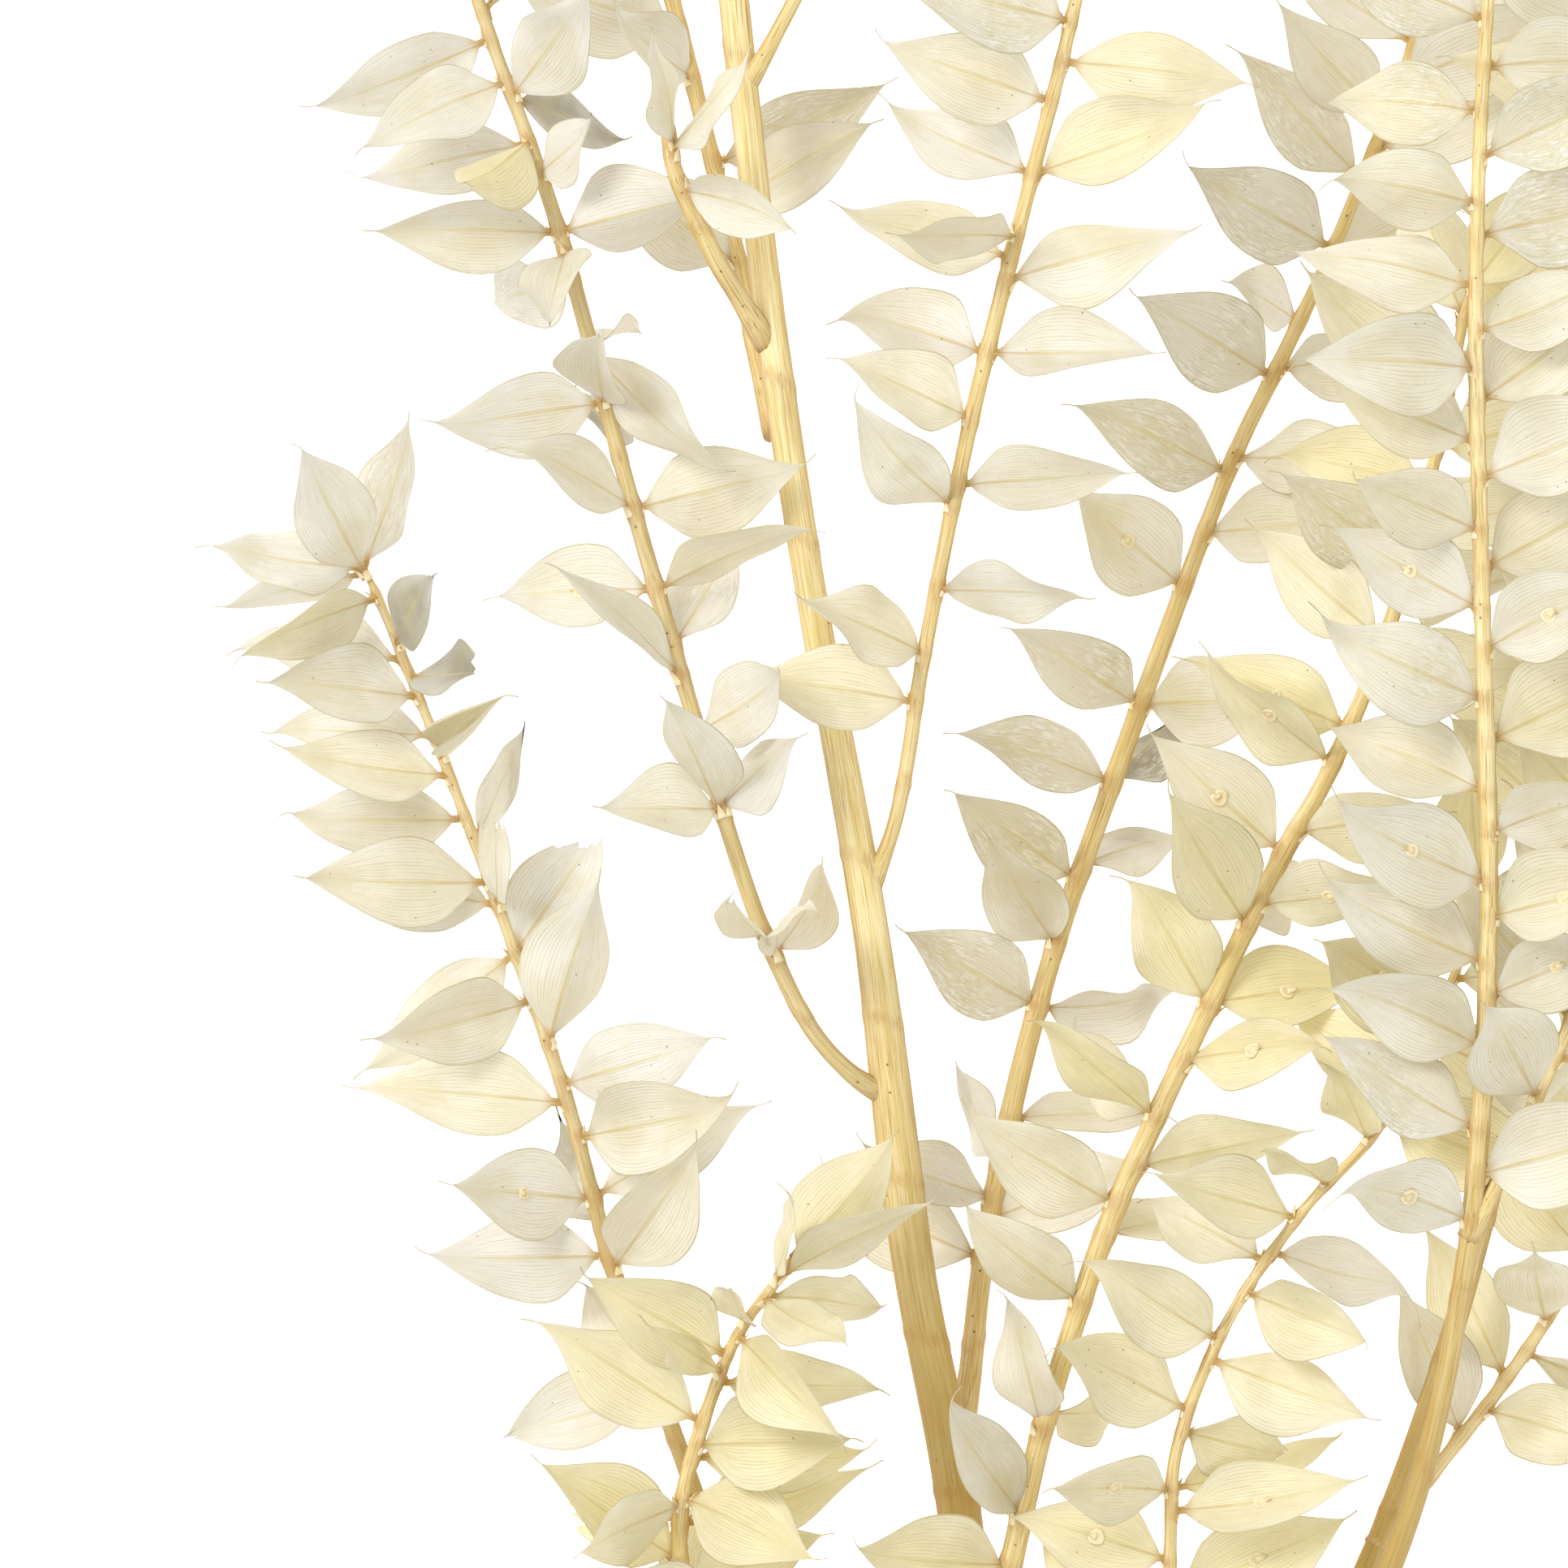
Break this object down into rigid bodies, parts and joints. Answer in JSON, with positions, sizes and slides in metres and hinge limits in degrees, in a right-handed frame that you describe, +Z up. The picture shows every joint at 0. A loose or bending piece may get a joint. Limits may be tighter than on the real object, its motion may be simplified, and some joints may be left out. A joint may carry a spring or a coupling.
{
  "type": "dried ruscus bunch",
  "caption": "Bunch of dried, bleached ruscus lying on its side: branched woody stems with papery, pointed leaves along the shoots, held by a twine tie near the cut ends.",
  "frame": {"origin": "on the surface that the bunch lies on, under the middle of its box", "axes": "+Y along the stems towards their tips, +X to the right and +Z up as the bunch lies"},
  "size_m": [0.27, 0.6264, 0.0797],
  "materials": {
    "ruscus": "bleached, papery leaves on straw-yellow wood",
    "twine": "twisted natural fibre"
  },
  "bodies": {
    "root": {"stem_middle": "ruscus", "stem_left": "ruscus", "stem_right": "ruscus", "stem_front": "ruscus", "twine_tie": "twine"}
  },
  "joints": []
}
